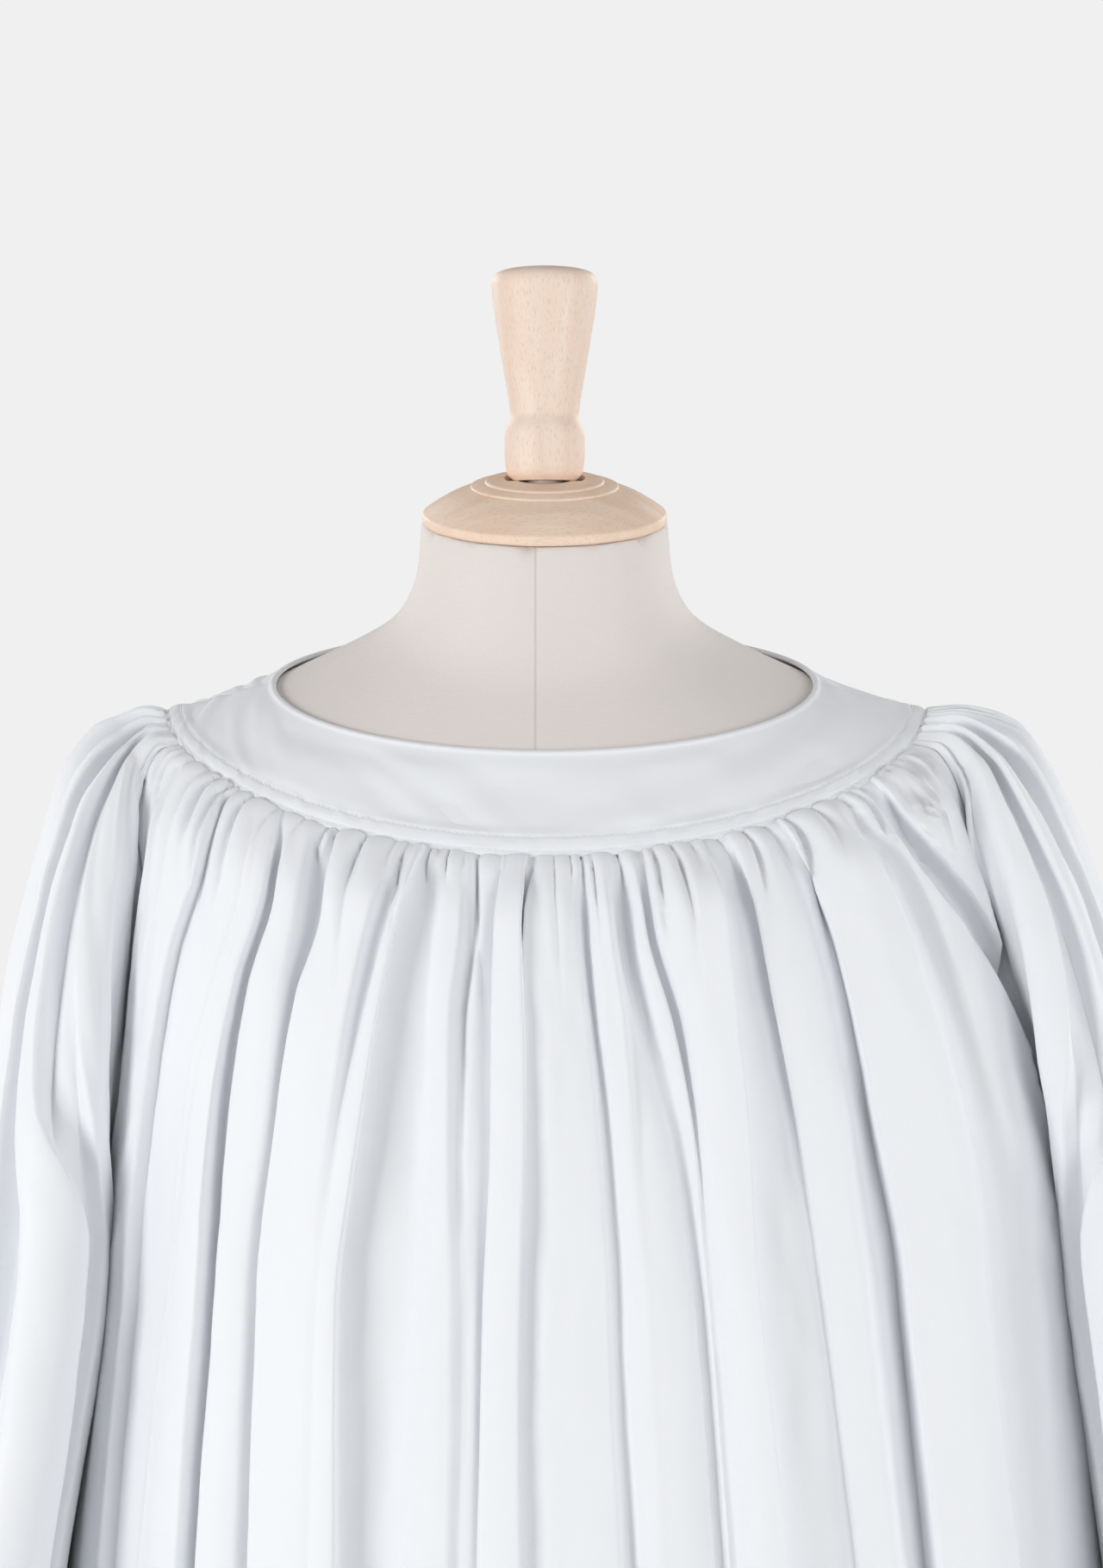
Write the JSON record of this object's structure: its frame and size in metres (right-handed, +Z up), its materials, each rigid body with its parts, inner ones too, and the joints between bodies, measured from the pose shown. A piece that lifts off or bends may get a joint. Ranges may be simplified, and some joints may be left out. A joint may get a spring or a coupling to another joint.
{
  "type": "surplice on a limbless dress form",
  "caption": "White church surplice with a round yoke, gathered body and wide open sleeves, worn on a limbless linen dress form with a wooden neck cap and handle.",
  "frame": {"origin": "centre of the underside of the round foot, on the floor, under the pole's axis", "axes": "+Z up along the pole; -Y is the garment's front; +X is the wearer's left"},
  "size_m": [0.7549, 0.5281, 1.6586],
  "materials": {
    "white_cotton": "white woven polyester and cotton, matte, lightly pressed",
    "form_linen": "natural cream linen stretched over the form, matte",
    "beech": "pale turned beech, satin",
    "black_enamel": "black enamelled steel tube"
  },
  "bodies": {
    "root": {"yoke_front": "white_cotton", "yoke_back": "white_cotton", "body_front": "white_cotton", "body_back": "white_cotton", "sleeve_left": "white_cotton", "sleeve_right": "white_cotton", "dress_form": "form_linen", "neck_cap": "beech", "handle": "beech", "stand_foot": "beech", "stand_pole": "black_enamel"}
  },
  "joints": []
}
